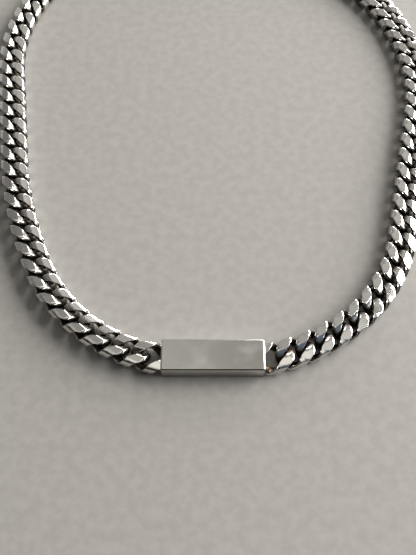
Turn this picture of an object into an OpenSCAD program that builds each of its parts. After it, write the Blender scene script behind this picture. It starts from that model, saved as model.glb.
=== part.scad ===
// Identity bracelet lying closed on a table: a bare plate, two runs of flat curb chain
// and a plain clasp. The loop lies in XY with the plate along the near side, its front
// edge towards -Y. Z is up, and the origin is below the middle of the whole loop.

/* [Plate] */
// Length of the plate, without its end loops
plate_length = 11.4; // [10.8:0.1:11.6]
// Width of the plate
plate_width = 3.65; // [3.5:0.05:3.9]
// Thickness of the plate
plate_thick = 2.1; // [2.1:0.05:2.4]
// Bevel along the edges of the plate
plate_bevel = 0.15; // [0.05:0.05:0.3]

/* [Chain] */
// Distance from one link to the next where the chain is pulled straight
pitch = 2.42; // [2.4:0.01:2.5]
// Thickness of the wire that a link is bent from
wire_d = 1.05; // [0.95:0.02:1.05]
// Outer length of a link
link_length = 4.68; // [4.64:0.02:4.7]
// Outer width of a link before its sides are cut
link_width = 4.14; // [4.02:0.04:4.18]
// Angle that each end of a link is twisted out of the flat
twist = 47; // [45:1:49]
// Width of the chain halfway up, where the steep facets on its sides meet
chain_width = 3.56; // [3.44:0.04:3.68]
// Thickness along the chain's middle, between the wide facets on its top and bottom
chain_thick = 2; // [1.92:0.02:2.06]
// Tilt from level of the wide facets, which fall away to the chain's two sides
roof_tilt = 8; // [4:1:10]
// Tilt from level of the steep facets on the chain's two sides
bevel_tilt = 76; // [66:2:80]

/* [Clasp] */
// Thickness of the clasp
clasp_thick = 2.1; // [2.1:0.05:2.3]
// Distance between the middles of the clasp's two end loops
clasp_span = 11.5; // [10.5:0.5:12.5]
// Bevel along the edges of the clasp
clasp_bevel = 0.35; // [0.2:0.05:0.5]

/* [Hidden] */

WIRE_SIDES = 6;
LINK_SECTIONS = 16;
// Angle round the link between two sections
SECTION_STEP = 360 / LINK_SECTIONS;
// Half axes of the oval that the wire's middle follows
long_half = (link_length - wire_d) / 2;
wide_half = (link_width - wire_d) / 2;
// How early the twist reaches its full angle: 1 is steady, 3 is almost a sharp fold
TWIST_HOLD = 2;
// Distances of the wide and the steep facets from the link's middle
roof_reach = chain_thick / 2 * cos(roof_tilt);
bevel_reach = chain_width / 2 * sin(bevel_tilt);
// From the middle of an end loop to the face of the plate or clasp that it grows from
loop_root = 0.45 * pitch;
// Height of the end loops' middles: they hang just clear of the table
loop_height = chain_thick / 2 + 0.03;
// Angle round the oval at which an end loop's two arms stop, inside the solid
LOOP_STOP = 146;
// Angle that the plate's loops are set inwards, so that the first links lie round the bend
PLATE_LOOP_TURN = 14;

// Each run of chain leaves the plate at its first angle, then follows rows of
// [length of the straight before the bend, radius of the bend, angle of the bend]
RIGHT_START = 13.5;
RIGHT_ROWS = [[0, 23.4, 21.3], [0, 20, 42.5], [19, 28.4, 35]];
LEFT_START = 13.5;
LEFT_ROWS = [[0, 20.1, 50.7], [0, 55.8, 17.5], [14.5, 24.3, 40]];

// Rows of [link number, angle that the outer edge of the chain is raised]
RIGHT_ROLL = [[0, 2], [5, -5], [15, -5], [20, 0], [37, 0]];
LEFT_ROLL = [[0, 6], [3, 14], [10, 12], [17, 6], [30, 4], [35, 0]];

// Cutting planes round a link as [outward direction, distance from its middle]
CUTS = [for (cut = [[roof_tilt, roof_reach], [bevel_tilt, bevel_reach]], side = [-1, 1], up = [-1, 1])
    [[0, side * sin(cut[0]), up * cos(cut[0])], cut[1]]];

function unit(v) = v / norm(v);
function tanh(v) = 1 - 2 / (exp(2 * v) + 1);
function turned_x(v, a) = [v.x, v.y * cos(a) - v.z * sin(a), v.y * sin(a) + v.z * cos(a)];
function turned_z(v, a) = [v.x * cos(a) - v.y * sin(a), v.x * sin(a) + v.y * cos(a), v.z];
function flat(lists) = [for (list = lists) for (item = list) item];

// A stretch of path is [length, turn]; a place on it is [x, y, heading]
function stretches(rows) = flat([for (row = rows)
    [[row[0], 0], [row[1] * row[2] * PI / 180, row[2]]]]);
function chord(length, turn) = turn == 0 ? length : length * sin(turn / 2) / (turn / 2 * PI / 180);
function onward(place, length, turn) = [
    place.x + chord(length, turn) * cos(place[2] + turn / 2),
    place.y + chord(length, turn) * sin(place[2] + turn / 2),
    place[2] + turn];
function place_at(place, path, s, i = 0) =
    i == len(path) ? place
    : s <= path[i][0] ? onward(place, s, path[i][0] == 0 ? 0 : path[i][1] * s / path[i][0])
    : place_at(onward(place, path[i][0], path[i][1]), path, s - path[i][0], i + 1);
function total(path) = [for (stretch = path) stretch[0]] * [for (stretch = path) 1];

// Both runs are laid out going right; the left one is mirrored to its own side later.
// Each closes with one last bend that brings it level with the clasp, at far_y.
loop_x = plate_length / 2 + loop_root;
function run_end(start, rows) = place_at([loop_x, 0, start], stretches(rows), total(stretches(rows)));
right_end = run_end(RIGHT_START, RIGHT_ROWS);
left_end = run_end(LEFT_START, LEFT_ROWS);
function lean(end) = tan(end[2] / 2);
far_y = (right_end.x + right_end.y * lean(right_end) + left_end.x + left_end.y * lean(left_end)
    - clasp_span) / (lean(right_end) + lean(left_end));
function whole_run(rows, end) = concat(stretches(rows),
    [[(far_y - end.y) / (1 + cos(end[2])) * (180 - end[2]) * PI / 180, 180 - end[2]]]);
right_path = whole_run(RIGHT_ROWS, right_end);
left_path = whole_run(LEFT_ROWS, left_end);
clasp_x = (place_at([loop_x, 0, RIGHT_START], right_path, total(right_path)).x
    - place_at([loop_x, 0, LEFT_START], left_path, total(left_path)).x) / 2;

// Middle of the wire at angle t round the link: an oval whose two ends are twisted
// opposite ways about the link's own length
function wire_middle(t) =
    let (
        along = cos(t),
        across = wide_half * sin(t),
        turn = -twist * tanh(TWIST_HOLD * along) / tanh(TWIST_HOLD))
    [long_half * along, across * cos(turn), across * sin(turn)];
function trimmed(v, i = 0) =
    i == len(CUTS) ? v
    : trimmed(v - max(v * CUTS[i][0] - CUTS[i][1], 0) * CUTS[i][0], i + 1);
// Six points round the wire at angle t, with every cut taken off
function wire_ring(t) =
    let (
        middle = wire_middle(t),
        ahead = unit(wire_middle(t + 1) - wire_middle(t - 1)),
        out = unit(middle - (middle * ahead) * ahead),
        up = cross(ahead, out))
    [for (k = [0 : WIRE_SIDES - 1])
        trimmed(middle + wire_d / 2 * (cos(k * 360 / WIRE_SIDES) * out + sin(k * 360 / WIRE_SIDES) * up))];
// Triangles that join ring i to ring j, whose points start at the given base
function band(base, i, j) = [for (k = [0 : WIRE_SIDES - 1], half = [0, 1])
    let (
        here = base + i * WIRE_SIDES,
        next = base + j * WIRE_SIDES,
        m = (k + 1) % WIRE_SIDES)
    half == 0 ? [here + k, next + m, here + m] : [here + k, next + k, next + m]];

LINK_POINTS = flat([for (j = [0 : LINK_SECTIONS - 1]) wire_ring(j * SECTION_STEP)]);
// A link at a place, rolled, and resting with its lowest point on the table
function laid_link(place, roll) =
    let (
        rolled = [for (v = LINK_POINTS) turned_x(v, -roll)],
        lift = -min([for (v = rolled) v.z]))
    [for (v = rolled) turned_z(v, place[2]) + [place.x, place.y, lift]];
// All links of a run; side is 1 for the right run and -1 for the left one
function laid_run(start, path, roll_rows, side) =
    let (count = ceil(total(path) / pitch))
    [for (i = [1 : count - 1])
        let (place = place_at([loop_x, 0, start], path, total(path) * i / count))
        laid_link([side * place.x, place.y, side * place[2]], lookup(i, roll_rows))];
right_links = laid_run(RIGHT_START, right_path, RIGHT_ROLL, 1);
left_links = laid_run(LEFT_START, left_path, LEFT_ROLL, -1);

// The loop is moved so that its box is centred over the origin
all_points = concat(flat(right_links), flat(left_links));
xs = [for (v = all_points) v.x];
ys = concat([for (v = all_points) v.y], [-plate_width / 2, far_y + chain_width / 2]);
home = -[max(xs) + min(xs), max(ys) + min(ys), 0] / 2;

module links(laid) {
    faces = [for (i = [0 : len(laid) - 1], j = [0 : LINK_SECTIONS - 1])
        each band(i * len(LINK_POINTS), j, (j + 1) % LINK_SECTIONS)];
    translate(home) polyhedron(flat(laid), faces);
}

// Half a link, open at its root, growing towards +X from a face at -loop_root
module end_loop() {
    steps = ceil(2 * LOOP_STOP / SECTION_STEP);
    rings = [for (j = [0 : steps]) wire_ring((2 * j / steps - 1) * LOOP_STOP)];
    last = steps * WIRE_SIDES;
    faces = concat(
        [for (j = [0 : steps - 1]) each band(0, j, j + 1)],
        [for (k = [2 : WIRE_SIDES - 1]) [0, k - 1, k]],
        [for (k = [2 : WIRE_SIDES - 1]) [last, last + k, last + k - 1]]);
    polyhedron(flat(rings), faces);
}

// Cross-section with bevelled corners, centred on the origin
module bevelled_rectangle(w, h, bevel) {
    polygon([
        [-w / 2 + bevel, -h / 2], [w / 2 - bevel, -h / 2], [w / 2, -h / 2 + bevel],
        [w / 2, h / 2 - bevel], [w / 2 - bevel, h / 2], [-w / 2 + bevel, h / 2],
        [-w / 2, h / 2 - bevel], [-w / 2, -h / 2 + bevel]]);
}

// Block with a bevel on every edge, standing on the table
module bevelled_block(length, width, thick, bevel) {
    translate([0, 0, thick / 2]) intersection() {
        translate([-length / 2, 0, 0]) rotate([90, 0, 90]) linear_extrude(length)
            bevelled_rectangle(width, thick, bevel);
        translate([0, width / 2, 0]) rotate([90, 0, 0]) linear_extrude(width)
            bevelled_rectangle(length, thick, bevel);
        translate([0, 0, -thick / 2]) linear_extrude(thick)
            bevelled_rectangle(length, width, bevel);
    }
}

// Block with an end loop soldered on at each end, loop middles span apart. Both loops can
// be turned towards +Y.
module looped_block(span, width, thick, bevel, loop_turn = 0) {
    bevelled_block(span - 2 * loop_root, width, thick, bevel);
    for (side = [1, -1])
        translate([side * span / 2, 0, loop_height])
            rotate([0, 0, side == 1 ? loop_turn : 180 - loop_turn]) end_loop();
}

module id_plate() {
    color("gainsboro") translate(home)
        looped_block(2 * loop_x, plate_width, plate_thick, plate_bevel, PLATE_LOOP_TURN);
}

module chain_right() {
    color("silver") links(right_links);
}

module chain_left() {
    color("silver") links(left_links);
}

module clasp() {
    color("lightgray") translate(home + [clasp_x, far_y, 0])
        looped_block(clasp_span, chain_width, clasp_thick, clasp_bevel);
}

id_plate();
chain_right();
chain_left();
clasp();
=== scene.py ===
import math
import bpy
import numpy as np
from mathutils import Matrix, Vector


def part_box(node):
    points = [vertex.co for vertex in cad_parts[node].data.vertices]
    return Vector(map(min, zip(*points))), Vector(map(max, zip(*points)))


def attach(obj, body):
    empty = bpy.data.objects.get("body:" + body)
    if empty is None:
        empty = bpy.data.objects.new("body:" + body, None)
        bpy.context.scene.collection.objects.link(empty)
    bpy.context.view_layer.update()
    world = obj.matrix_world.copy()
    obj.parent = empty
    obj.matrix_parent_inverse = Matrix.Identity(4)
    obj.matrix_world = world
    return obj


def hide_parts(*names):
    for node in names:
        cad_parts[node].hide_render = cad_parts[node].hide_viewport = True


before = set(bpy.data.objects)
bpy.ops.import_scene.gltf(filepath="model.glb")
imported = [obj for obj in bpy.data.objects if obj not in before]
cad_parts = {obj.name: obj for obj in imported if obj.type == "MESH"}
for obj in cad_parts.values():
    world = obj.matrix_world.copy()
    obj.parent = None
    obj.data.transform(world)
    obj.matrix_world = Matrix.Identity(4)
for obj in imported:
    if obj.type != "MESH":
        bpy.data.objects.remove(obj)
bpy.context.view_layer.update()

# Camera: it stands in front of the plate, a hand's width above the table, and looks down
# over the whole loop at 63 degrees, so the plate is nearest. The lens is a long one in a
# frame of 416 by 555, and tones are shown as they are.
CAMERA_PLACE = (-0.00061, -0.06141, 0.0756)
CAMERA_DIP = math.radians(62.85)
LENS_IN_PICTURE_HEIGHTS = 720 / 555
SENSOR_HEIGHT = 24.0
NEAREST_SEEN = 0.001
camera_data = bpy.data.cameras.new("camera")
camera_data.sensor_fit = "VERTICAL"
camera_data.sensor_height = SENSOR_HEIGHT
camera_data.lens = SENSOR_HEIGHT * LENS_IN_PICTURE_HEIGHTS
camera_data.clip_start = NEAREST_SEEN
camera = bpy.data.objects.new("camera", camera_data)
camera.location = CAMERA_PLACE
camera.rotation_euler = (math.pi / 2 - CAMERA_DIP, 0, 0)
bpy.context.scene.collection.objects.link(camera)
bpy.context.scene.camera = camera
bpy.context.scene.view_settings.view_transform = "Standard"


# Room and table: a pale plain table, a wide soft window to the right and behind, a lower
# pane at the back, and a room that is darkest in front. Polished steel has no colour of
# its own, so these are what its facets show.
class Shade:
    """One output of a node tree. A sum, difference or product with it adds a Math node."""

    def __init__(self, tree, socket=None):
        self.tree = tree
        self.socket = socket

    def node(self, kind, settings=None, inputs=None, out=0):
        """The output numbered out of a new node of that kind: its settings are made first,
        then each of its inputs, by name or number, gets a value or a link."""
        made = self.tree.nodes.new(kind)
        for name, value in (settings or {}).items():
            setattr(made, name, value)
        for name, value in (inputs or {}).items():
            if isinstance(value, Shade):
                self.tree.links.new(value.socket, made.inputs[name])
            else:
                made.inputs[name].default_value = value
        return Shade(self.tree, made.outputs[out])

    def maths(self, operation, *values):
        """A Math node on those values, in their order."""
        return self.node("ShaderNodeMath", {"operation": operation}, dict(enumerate(values)))

    def blend(self, first, second):
        """The first colour where this value is 0 and the second where it is 1."""
        return self.node("ShaderNodeMix", {"data_type": "RGBA", "clamp_factor": True},
                         {0: self, 6: first, 7: second}, out=2)

    def rise(self, start, end):
        """0 below start and 1 above end, eased between."""
        return self.node("ShaderNodeMapRange", {"interpolation_type": "SMOOTHSTEP"},
                         {"Value": self, "From Min": start, "From Max": end})

    def __add__(self, other):
        return self.maths("ADD", self, other)

    def __rsub__(self, other):
        return self.maths("SUBTRACT", other, self)

    def __mul__(self, other):
        return self.maths("MULTIPLY", self, other)

    __radd__ = __add__


LEFT_WALL, MIDDLE_WALL = (0.22, 0.21, 0.20, 1), (0.64, 0.62, 0.59, 1)
FAR_LEFT_WALL, RIGHT_WALL = (0.56, 0.54, 0.51, 1), (0.27, 0.255, 0.22, 1)
LEFT_CEILING, MIDDLE_CEILING = (0.56, 0.54, 0.495, 1), (0.29, 0.28, 0.255, 1)
RIGHT_CEILING, STRAIGHT_UP = (0.75, 0.73, 0.70, 1), (1.15, 1.12, 1.06, 1)
DARK_FRONT, COOL_FRONT = (0.04, 0.032, 0.025, 1), (0.13, 0.17, 0.23, 1)
world = bpy.data.worlds.new("room")
bpy.context.scene.world = world
world.use_nodes = True
room = Shade(world.node_tree)
background = world.node_tree.nodes["Background"]
direction = room.node("ShaderNodeTexCoord")
# Each of these is that part of a direction one unit long: rightwards, backwards and up.
along_x, along_y, along_z = (
    room.node("ShaderNodeSeparateXYZ", inputs={0: direction}, out=axis) for axis in range(3))
walls = along_x.rise(-0.20, 0.22).blend(LEFT_WALL, MIDDLE_WALL)
on_the_far_left = ((1 - along_x.rise(-0.16, -0.04)) * along_y.rise(0.4, 0.6)
                   * (1 - along_z.rise(0.60, 0.70)))
walls = on_the_far_left.blend(walls, FAR_LEFT_WALL)
walls = along_x.rise(0.30, 0.42).blend(walls, RIGHT_WALL)
ceiling = along_x.rise(-0.12, 0.10).blend(LEFT_CEILING, MIDDLE_CEILING)
ceiling = along_x.rise(0.12, 0.25).blend(ceiling, RIGHT_CEILING)
whole_room = along_z.rise(0.85, 0.92).blend(walls, ceiling)
whole_room = along_z.rise(0.95, 0.975).blend(whole_room, STRAIGHT_UP)
in_front = (1 - along_y.rise(-0.30, 0.10)) * (1 - along_z.rise(0.80, 0.92))
whole_room = in_front.blend(whole_room, DARK_FRONT)
front_right = (along_x.rise(0.25, 0.40) * (1 - along_y.rise(-0.10, 0.15))
               * (1 - along_z.rise(0.82, 0.92)) * along_z.rise(0.1, 0.4))
whole_room = front_right.blend(whole_room, COOL_FRONT)
world.node_tree.links.new(whole_room.socket, background.inputs["Color"])
background.inputs["Strength"].default_value = 1.0

WINDOW_COLOUR = (1.0, 0.98, 0.95)
LIT_PLACE = Vector((0, 0, 0.02))


def soft_window(name, place, width, height, power):
    """A flat light, width by height in metres, at a place and turned to the lit place."""
    data = bpy.data.lights.new(name, "AREA")
    data.shape = "RECTANGLE"
    data.size, data.size_y, data.energy, data.color = width, height, power, WINDOW_COLOUR
    lamp = bpy.data.objects.new(name, data)
    lamp.location = place
    lamp.rotation_euler = (LIT_PLACE - Vector(place)).to_track_quat("-Z", "Y").to_euler()
    bpy.context.scene.collection.objects.link(lamp)


soft_window("window", (0.64, 0.25, 0.36), width=0.74, height=0.68, power=24)
soft_window("back_pane", (0.26, 0.72, 0.16), width=0.40, height=0.34, power=5)

MILLIMETRES_IN_METRE = 1000
TABLE_SIZE = 1.6 * MILLIMETRES_IN_METRE
TABLE_STEPS = 3
TABLE_SPECKLE_SCALE = 900.0
TABLE_ROUGHNESS = 0.75
TABLE_DARKER, TABLE_PALER = (0.200, 0.193, 0.180, 1), (0.226, 0.218, 0.204, 1)


def mesh_piece(name, points, quads, finish, caps=(), recess=None):
    """A mesh object at the origin, from points in millimetres and rows of point numbers:
    smooth quads, then flat caps. Recess is a number that each point keeps."""
    mesh = bpy.data.meshes.new(name)
    faces = quads.reshape(-1, 4).tolist() + [list(cap) for cap in caps]
    mesh.from_pydata((points.reshape(-1, 3) / MILLIMETRES_IN_METRE).tolist(), [], faces)
    smooth = np.ones(len(faces), bool)
    smooth[len(faces) - len(caps):] = False
    mesh.polygons.foreach_set("use_smooth", smooth)
    if recess is not None:
        store = mesh.attributes.new("recess", "FLOAT", "POINT")
        store.data.foreach_set("value", recess.ravel().astype(np.float32))
    mesh.materials.append(finish)
    mesh.update()
    piece = bpy.data.objects.new(name, mesh)
    bpy.context.scene.collection.objects.link(piece)
    return piece


def grid_quads(rows, columns, close_rows, close_columns):
    """Rows of four point numbers over a grid, joined end to start where it closes. They run
    from a column towards the one before it, so that they face outwards on every piece."""
    i = np.arange(rows if close_rows else rows - 1)[:, None]
    j = np.arange(columns if close_columns else columns - 1)[None, :]
    next_i, next_j = (i + 1) % rows, (j + 1) % columns
    return np.stack([i * columns + next_j, next_i * columns + next_j,
                     next_i * columns + j, i * columns + j], -1)


def new_finish(name):
    """A material of that name, its node tree and its main shader, with nothing linked yet."""
    finish = bpy.data.materials.new(name)
    finish.use_nodes = True
    return finish, Shade(finish.node_tree), finish.node_tree.nodes["Principled BSDF"]


OBJECT_PLACE = 3
table_finish, table_tree, table_shader = new_finish("pale_table")
speckle = table_tree.node("ShaderNodeTexNoise", inputs={
    "Vector": table_tree.node("ShaderNodeTexCoord", out=OBJECT_PLACE),
    "Scale": TABLE_SPECKLE_SCALE, "Detail": 4.0})
table_colour = speckle.rise(0.3, 0.7).blend(TABLE_DARKER, TABLE_PALER)
table_finish.node_tree.links.new(table_colour.socket, table_shader.inputs["Base Color"])
table_shader.inputs["Roughness"].default_value = TABLE_ROUGHNESS
table_line = np.linspace(-TABLE_SIZE / 2, TABLE_SIZE / 2, TABLE_STEPS)
across, deep = np.meshgrid(table_line, table_line)
table = mesh_piece("table", np.stack([across, deep, np.zeros_like(across)], -1),
                   grid_quads(TABLE_STEPS, TABLE_STEPS, False, False), table_finish)


# Plate: a bar of stainless steel with bare faces, ground along its length and polished,
# its edges broken by a narrow bevel. At each end a half link of the chain's own wire is
# soldered on, turned a little into the loop to meet the first link.
PLATE_LENGTH, PLATE_WIDTH, PLATE_THICK, PLATE_BEVEL = 11.4, 3.65, 2.1, 0.15
PLATE_LOOP_TURN = 14
PITCH = 2.42
WIRE = 1.05
LINK_LENGTH, LINK_WIDTH = 4.68, 4.14
LONG_HALF, WIDE_HALF = (LINK_LENGTH - WIRE) / 2, (LINK_WIDTH - WIRE) / 2
TWIST, TWIST_HOLD = math.radians(47), 2
CHAIN_WIDTH, CHAIN_THICK = 3.56, 2.0
LOOP_LIFT = 0.03
LOOP_HEIGHT = CHAIN_THICK / 2 + LOOP_LIFT
LOOP_ROOT = 0.45 * PITCH
LOOP_STOP = math.radians(146)
# Cutting planes: a tilt from level, and a reach from the link's middle, in millimetres.
ROOF_TILT, SIDE_TILT = math.radians(8), math.radians(76)
ROOF_REACH = CHAIN_THICK / 2 * math.cos(ROOF_TILT)
SIDE_REACH = CHAIN_WIDTH / 2 * math.sin(SIDE_TILT)
SLANT_TILT, WORN_SLANT_REACH = math.radians(27), 1.33
DIP_TILT, DIP_REACH = math.radians(33), 0.505
DIP_END = 0.35 * WIDE_HALF
DIP_LEAST_ROOM = 0.1
EDGE_POWER = 60
RECESS_DEPTH = 0.7
TANGENT_STEP = 0.01
POINTS_ROUND_WIRE = 28
SECTIONS_ROUND_LINK = 88
SECTIONS_ROUND_LOOP = 72
OUTLINE_STEPS = 721
BEND_SHARE = 0.8


def unit(vectors):
    """Vectors divided by their own lengths."""
    return vectors / np.linalg.norm(vectors, axis=-1, keepdims=True)


def plane_normals(tilt):
    """Four normals, left and right, above and below, each that far from straight up or down."""
    return np.array([(0, side * math.sin(tilt), up * math.cos(tilt))
                     for side in (-1, 1) for up in (-1, 1)])


def wire_middle(t):
    """Middle of a link's wire: an oval, its two ends twisted opposite ways about its length."""
    along, across = np.cos(t), WIDE_HALF * np.sin(t)
    turn = -TWIST * np.tanh(TWIST_HOLD * along) / math.tanh(TWIST_HOLD)
    return np.stack([LONG_HALF * along, across * np.cos(turn), across * np.sin(turn)], -1)


def cut_wire(t, slant_reach):
    """Surface of a link's wire at angles t round the link: from the wire's middle, each ray
    ends at the round wire or at the nearest cutting plane, whichever comes first, and the
    points gather where the outline turns sharply. Also gives how far in each point lies."""
    cuts = [(normal, reach) for tilt, reach in (
        (ROOF_TILT, ROOF_REACH), (SIDE_TILT, SIDE_REACH), (SLANT_TILT, slant_reach))
            for normal in plane_normals(tilt)]
    middle = wire_middle(t)
    ahead = unit(wire_middle(t + TANGENT_STEP) - wire_middle(t - TANGENT_STEP))
    out = unit(middle - (middle * ahead).sum(-1, keepdims=True) * ahead)
    up = np.cross(ahead, out)

    def rays(angle):
        """Arrows from the wire's middle to its surface: one over the length is a soft
        largest of one over the ways to the round wire and to each plane. The dip planes
        only cut where a lobe falls towards the link's middle."""
        way = np.cos(angle)[..., None] * out[:, None] + np.sin(angle)[..., None] * up[:, None]
        nearness = (2 / WIRE) ** EDGE_POWER * np.ones(angle.shape)
        for normal, reach in cuts:
            room_left = reach - middle @ normal
            nearness += np.clip(way @ normal / room_left[:, None], 0, None) ** EDGE_POWER
        for normal in plane_normals(DIP_TILT):
            room_left = DIP_REACH - middle @ normal
            cut_here = ((middle[:, 1] * np.sign(normal[1]) < DIP_END)
                        & (room_left > DIP_LEAST_ROOM))
            nearer = way @ normal / np.where(cut_here, room_left, 1)[:, None]
            nearness += np.where(cut_here[:, None], np.clip(nearer, 0, None), 0) ** EDGE_POWER
        return way * (nearness ** (-1 / EDGE_POWER))[..., None]

    fine = np.linspace(0, 2 * np.pi, OUTLINE_STEPS)
    steps = np.diff(rays(np.broadcast_to(fine, (len(t), OUTLINE_STEPS))), axis=1)
    length = np.linalg.norm(steps, axis=-1)
    heading = unit(steps)
    bend = np.arccos(np.clip((heading * np.roll(heading, 1, axis=1)).sum(-1), -1, 1))
    bend = bend + np.roll(bend, -1, axis=1)
    weight = (length / length.sum(1, keepdims=True)
              + BEND_SHARE * bend / bend.sum(1, keepdims=True))
    reached = np.concatenate([np.zeros((len(t), 1)), np.cumsum(weight, 1)], 1)
    reached /= reached[:, -1:]
    ring = np.arange(len(t))[:, None] * 2.0
    wanted = np.arange(POINTS_ROUND_WIRE) / POINTS_ROUND_WIRE
    angle = np.interp((wanted + ring).ravel(), (reached + ring).ravel(),
                      np.broadcast_to(fine, reached.shape).ravel()).reshape(len(t), -1)
    points = middle[:, None] + rays(angle)
    depth = np.min([reach - points @ normal for normal, reach in cuts], axis=0)
    return points, np.clip(depth / RECESS_DEPTH, 0, 1)


def turned(points, degrees, axis):
    """Points turned about the x axis (0) or the z axis (2), anticlockwise from its far end."""
    angle = np.radians(degrees)
    c, s = np.cos(angle), np.sin(angle)
    x, y, z, c, s = np.broadcast_arrays(points[..., 0], points[..., 1], points[..., 2], c, s)
    if axis == 0:
        return np.stack([x, y * c - z * s, y * s + z * c], -1)
    return np.stack([x * c - y * s, x * s + y * c, z], -1)


CLOUD_SCALE = 420.0
CLOUD_ROUGHNESS, HAIR_ROUGHNESS, RECESS_ROUGHNESS = 0.10, 0.06, 0.25


def steel(name, colour, painted_shade_colour, roughness, hair_scales, hair_depth):
    """Polished steel: hairline scratches that lie one way, faint cloudy wear in the polish,
    and painted shade: the colour turns dark brown and the polish rougher where a point lies
    deep, in cloudy patches, as far as its recess attribute says."""
    finish, tree, shader = new_finish(name)
    place = tree.node("ShaderNodeTexCoord", out=OBJECT_PLACE)
    stretched = tree.node("ShaderNodeMapping", inputs={"Vector": place, "Scale": hair_scales})
    hairs = tree.node("ShaderNodeTexNoise", inputs={
        "Vector": stretched, "Scale": 1.0, "Detail": 3.0, "Roughness": 0.6})
    clouds = tree.node("ShaderNodeTexNoise", inputs={
        "Vector": place, "Scale": CLOUD_SCALE, "Detail": 3.0})
    recess = tree.node("ShaderNodeAttribute", {"attribute_name": "recess"}, out=2)
    # Painted shade: this mask is high where a point lies deep below the cuts, in cloudy patches;
    # the colour is darkened there to stand in for the shade that falls between links.
    painted_shade_mask = recess.rise(0.15, 0.75) * clouds.rise(0.05, 0.35)
    wear = roughness + clouds.rise(0.45, 0.8) * CLOUD_ROUGHNESS
    wear = wear + hairs * HAIR_ROUGHNESS + painted_shade_mask * RECESS_ROUGHNESS
    bump = tree.node("ShaderNodeBump", inputs={
        "Strength": 1.0, "Distance": hair_depth, "Height": hairs})
    links = finish.node_tree.links
    # Base colour: the steel, turned to the dark painted shade colour by the mask above.
    links.new(painted_shade_mask.blend(colour, painted_shade_colour).socket, shader.inputs["Base Color"])
    links.new(wear.socket, shader.inputs["Roughness"])
    links.new(bump.socket, shader.inputs["Normal"])
    shader.inputs["Metallic"].default_value = 1.0
    return finish


BLOCK_CORNER = 0.22
CORNER_IN_BEVELS = 1.25
CORNER_POINTS = 7
BEVEL_INSETS = np.array([1.15, 1.02, 0.85, 0.15, 0.03, 0.0])
BEVEL_RISE = 0.9


def block(length, width, thick, bevel):
    """A block standing on the table: an outline with round corners, always rounder than the
    deepest inset, is carried up a profile of (inset, height) that rounds both of its bevels.
    Gives points, quads and two caps."""
    corner = max(BLOCK_CORNER, CORNER_IN_BEVELS * bevel)
    arc = np.linspace(0, np.pi / 2, CORNER_POINTS)
    way = np.concatenate([arc + quarter * np.pi / 2 for quarter in range(4)])
    outward = np.stack([np.cos(way), np.sin(way)], -1)
    corner_x = np.repeat([1, -1, -1, 1], CORNER_POINTS) * (length / 2 - corner)
    corner_y = np.repeat([1, 1, -1, -1], CORNER_POINTS) * (width / 2 - corner)
    outline = np.stack([corner_x, corner_y], -1) + corner * outward
    inset = bevel * BEVEL_INSETS
    height = BEVEL_RISE * inset[::-1]
    height = np.concatenate([height, thick - height[::-1]])
    inset = np.concatenate([inset, inset[::-1]])
    flat = outline[None] - inset[:, None, None] * outward[None]
    level = np.broadcast_to(height[:, None, None], flat.shape[:2] + (1,))
    quads, caps = open_tube(len(height), len(outline))
    return np.concatenate([flat, level], -1).reshape(-1, 3), quads, caps


def open_tube(rows, columns):
    """The quads of a tube of that many rings, and a cap at each of its ends."""
    caps = [np.arange(columns)[::-1], np.arange(columns) + (rows - 1) * columns]
    return grid_quads(rows, columns, False, True).reshape(-1, 4), caps


def looped_block(name, span, width, thick, bevel, loop_turn, place, finish):
    """A block with half a link at each end, as one mesh. The half links' middles are span
    apart, and their two arms end inside the block."""
    points, quads, caps = block(span - 2 * LOOP_ROOT, width, thick, bevel)
    all_points, all_quads, all_caps = [points], [quads], list(caps)
    all_recess = [np.zeros(len(points))]
    loop_points, loop_recess = cut_wire(
        np.linspace(-LOOP_STOP, LOOP_STOP, SECTIONS_ROUND_LOOP), WORN_SLANT_REACH)
    loop_points = loop_points.reshape(-1, 3)
    loop_quads, loop_caps = open_tube(SECTIONS_ROUND_LOOP, POINTS_ROUND_WIRE)
    start = len(points)
    for side, heading in ((1, loop_turn), (-1, 180 - loop_turn)):
        all_points.append(turned(loop_points, heading, 2) + [side * span / 2, 0, LOOP_HEIGHT])
        all_quads.append(loop_quads + start)
        all_caps += [cap + start for cap in loop_caps]
        all_recess.append(loop_recess.ravel())
        start += len(loop_points)
    return mesh_piece(name, np.concatenate(all_points) + place, np.concatenate(all_quads),
                      finish, all_caps, np.concatenate(all_recess))


# The plate's second colour is painted shade, the dark brown laid into its end loops' recesses.
PLATE_STEEL, PLATE_PAINTED_SHADE = (0.66, 0.65, 0.62, 1), (0.10, 0.07, 0.05, 1)
plate_low, plate_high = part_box("id_plate")
home_x = (plate_low[0] + plate_high[0]) / 2 * MILLIMETRES_IN_METRE
home_y = plate_low[1] * MILLIMETRES_IN_METRE + PLATE_WIDTH / 2
loop_x = PLATE_LENGTH / 2 + LOOP_ROOT
plate_steel = steel("ground_steel", PLATE_STEEL, PLATE_PAINTED_SHADE, roughness=0.12,
                    hair_scales=(900.0, 26000.0, 26000.0), hair_depth=0.000002)
plate = looped_block("plate", 2 * loop_x, PLATE_WIDTH, PLATE_THICK, PLATE_BEVEL,
                     PLATE_LOOP_TURN, [home_x, home_y, 0], plate_steel)
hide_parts("id_plate")
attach(plate, "root")


# Right run of chain: 36 closed links of steel wire, each twisted so that the next two lie
# in it, then ground to two low slopes above and below and a steep side. It leaves the
# plate, bends up the right side and comes round to the clasp.
CLASP_SPAN = 11.5
SHARP_SLANT_REACH = 1.41
# A run's first heading in degrees, and its rows of [straight, radius, turn].
RIGHT_START, RIGHT_ROWS = 13.5, [[0, 23.4, 21.3], [0, 20, 42.5], [19, 28.4, 35]]
LEFT_START, LEFT_ROWS = 13.5, [[0, 20.1, 50.7], [0, 55.8, 17.5], [14.5, 24.3, 40]]
# Rows of [link's number, roll in degrees].
RIGHT_ROLL = [[0, 2], [5, -5], [15, -5], [20, 0], [37, 0]]
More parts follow.
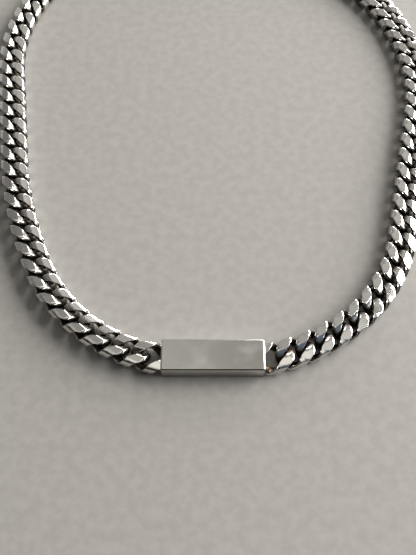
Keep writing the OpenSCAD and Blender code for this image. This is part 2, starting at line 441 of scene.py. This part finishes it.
# The links' second colour is painted shade, the near-black brown laid into their recesses.
LINK_STEEL, LINK_PAINTED_SHADE = (0.68, 0.67, 0.645, 1), (0.034, 0.026, 0.018, 1)
SHORTEST_STRETCH = 1e-9


def stretches(rows):
    """Rows of [straight, radius, turn] as an array of [length, turn in degrees]."""
    return np.array([part for straight, radius, turn in rows
                     for part in ([straight, 0.0], [radius * math.radians(turn), turn])])


def onward(place, length, turn):
    """The place at the end of a bend of that length and turn, along its chord."""
    half = np.radians(turn) / 2
    chord = length * np.sinc(half / np.pi)
    way = np.radians(place[:, 2]) + half
    return np.stack([place[:, 0] + chord * np.cos(way), place[:, 1] + chord * np.sin(way),
                     place[:, 2] + turn], -1)


def along_path(start, path, s):
    """Places [x, y, heading] at lengths s along a path of straights and round bends: each is
    the chord of its own bend onward from the stretch's first place."""
    place = np.array([[loop_x, 0.0, start]])
    for length, turn in path:
        place = np.concatenate([place, onward(place[-1:], np.array([length]), np.array([turn]))])
    ends = np.cumsum(path[:, 0])
    k = np.minimum(np.searchsorted(ends, s), len(path) - 1)
    into = s - (ends - path[:, 0])[k]
    return onward(place[k], into,
                  path[k, 1] * into / np.maximum(path[k, 0], SHORTEST_STRETCH))


def path_end(start, path):
    """The place at a path's whole length."""
    return along_path(start, path, np.array([path[:, 0].sum()]))[0]


# The last bend of a run ends level, and brings its end inwards by (far_y - y) times the
# tangent of half the heading before it. So far_y is where the two ends leave just the
# clasp's span between them.
right_end = path_end(RIGHT_START, stretches(RIGHT_ROWS))
left_end = path_end(LEFT_START, stretches(LEFT_ROWS))
right_lean = math.tan(math.radians(right_end[2]) / 2)
left_lean = math.tan(math.radians(left_end[2]) / 2)
far_y = ((right_end[0] + right_end[1] * right_lean + left_end[0] + left_end[1] * left_lean
          - CLASP_SPAN) / (right_lean + left_lean))


def whole_run(rows, end):
    """The stretches of a run, with the last bend that brings it level with the clasp."""
    turn = 180 - end[2]
    length = (far_y - end[1]) / (1 + math.cos(math.radians(end[2]))) * math.radians(turn)
    return np.concatenate([stretches(rows), [[length, turn]]])


def laid_run(name, start, path, roll_rows, side, slant_reach, finish):
    """All links of a run as one mesh: one link's surface is rolled about its length, set
    down on the table, turned to its heading and moved to its place, for every link at once.
    Side is 1 for the right run and -1 for the left, which is the mirrored path."""
    total = path[:, 0].sum()
    count = math.ceil(total / PITCH)
    number = np.arange(1, count)
    place = along_path(start, path, total * number / count)
    place[:, [0, 2]] *= side
    roll = np.interp(number, *np.transpose(roll_rows))
    link, recess = cut_wire(np.arange(SECTIONS_ROUND_LINK) * 2 * np.pi / SECTIONS_ROUND_LINK,
                            slant_reach)
    laid = turned(link.reshape(1, -1, 3), -roll[:, None], 0)
    laid = laid - [0, 0, 1] * laid[..., 2:].min(axis=1, keepdims=True)
    laid = turned(laid, place[:, None, 2], 2)
    laid[..., :2] += place[:, None, :2]
    quads = grid_quads(SECTIONS_ROUND_LINK, POINTS_ROUND_WIRE, True, True).reshape(1, -1, 4)
    quads = quads + np.arange(len(laid))[:, None, None] * laid.shape[1]
    return mesh_piece(name, laid + [home_x, home_y, 0], quads, finish,
                      recess=np.tile(recess.ravel(), len(laid)))


right_path = whole_run(RIGHT_ROWS, right_end)
link_steel = steel("polished_steel", LINK_STEEL, LINK_PAINTED_SHADE, roughness=0.07,
                   hair_scales=(9000.0, 9000.0, 3000.0), hair_depth=0.0000008)
right_chain = laid_run("right_chain", RIGHT_START, right_path, RIGHT_ROLL, 1,
                       SHARP_SLANT_REACH, link_steel)
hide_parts("chain_right")
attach(right_chain, "root")


# Left run of chain: 34 links of the same wire and cuts, the edge between slope and side
# worn to a narrow slant. Near the plate it lies rolled, its outer edge raised, and the two
# runs meet at the clasp.
LEFT_ROLL = [[0, 6], [3, 14], [10, 12], [17, 6], [30, 4], [35, 0]]
left_path = whole_run(LEFT_ROWS, left_end)
left_chain = laid_run("left_chain", LEFT_START, left_path, LEFT_ROLL, -1,
                      WORN_SLANT_REACH, link_steel)
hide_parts("chain_left")
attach(left_chain, "root")


# Clasp: a plain closed box of polished steel as wide as the chain, with a half link
# soldered on at each end. It lies at the far side of the loop.
CLASP_THICK, CLASP_BEVEL, CLASP_LOOP_TURN = 2.1, 0.35, 0
# The clasp's second colour is painted shade, the dark brown laid into its end loops' recesses.
CLASP_STEEL, CLASP_PAINTED_SHADE = (0.67, 0.66, 0.635, 1), (0.06, 0.04, 0.025, 1)
clasp_x = (path_end(RIGHT_START, right_path)[0] - path_end(LEFT_START, left_path)[0]) / 2
clasp_steel = steel("clasp_steel", CLASP_STEEL, CLASP_PAINTED_SHADE, roughness=0.09,
                    hair_scales=(1200.0, 20000.0, 20000.0), hair_depth=0.0000008)
clasp = looped_block("closed_clasp", CLASP_SPAN, CHAIN_WIDTH, CLASP_THICK, CLASP_BEVEL,
                     CLASP_LOOP_TURN, [home_x + clasp_x, home_y + far_y, 0], clasp_steel)
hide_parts("clasp")
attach(clasp, "root")
